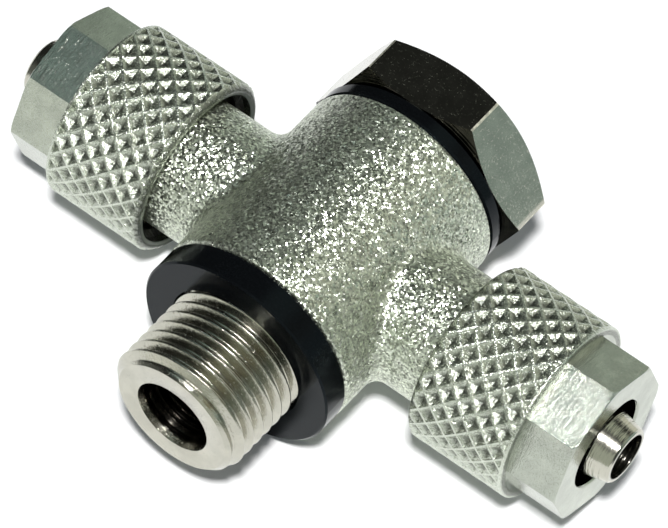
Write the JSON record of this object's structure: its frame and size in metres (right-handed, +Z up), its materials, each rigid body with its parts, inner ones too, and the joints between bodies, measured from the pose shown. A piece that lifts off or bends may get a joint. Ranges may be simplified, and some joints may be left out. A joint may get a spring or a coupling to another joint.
{
  "type": "swivel tee fitting",
  "caption": "Swivel tee fitting: a hollow banjo bolt carries a turning ring with opposed arms, each ending in a push-on barb under a knurled union nut.",
  "frame": {"origin": "on the bolt axis, in the front face of the port washer, where the fitting seals on its port", "axes": "-Y along the bolt towards its port thread, X along the two arms, +Z up as the fitting lies on its ring"},
  "size_m": [0.0462, 0.0279, 0.0144],
  "materials": {
    "body": "nickel plating over a shot-blasted surface",
    "bolt": "bright nickel plating over turned brass",
    "nut": "bright nickel plating over knurled and brushed brass",
    "washer": "black moulded plastic"
  },
  "bodies": {
    "bolt": {"banjo_bolt": "bolt", "port_washer": "washer", "head_washer": "washer"},
    "tee": {"tee_body": "body"},
    "nut_right": {"union_nut_right": "nut"},
    "nut_left": {"union_nut_left": "nut"}
  },
  "joints": [
    {"name": "swivel", "type": "hinge", "parent": "bolt", "child": "tee", "pos_m": [0, 0.00932, 0], "axis": [0, 1, 0], "continuous": true},
    {"name": "nut_right_turn", "type": "hinge", "parent": "tee", "child": "nut_right", "pos_m": [0.016, 0.00932, 0], "axis": [1, 0, 0], "continuous": true},
    {"name": "nut_left_turn", "type": "hinge", "parent": "tee", "child": "nut_left", "pos_m": [-0.016, 0.00932, 0], "axis": [-1, 0, 0], "continuous": true}
  ]
}
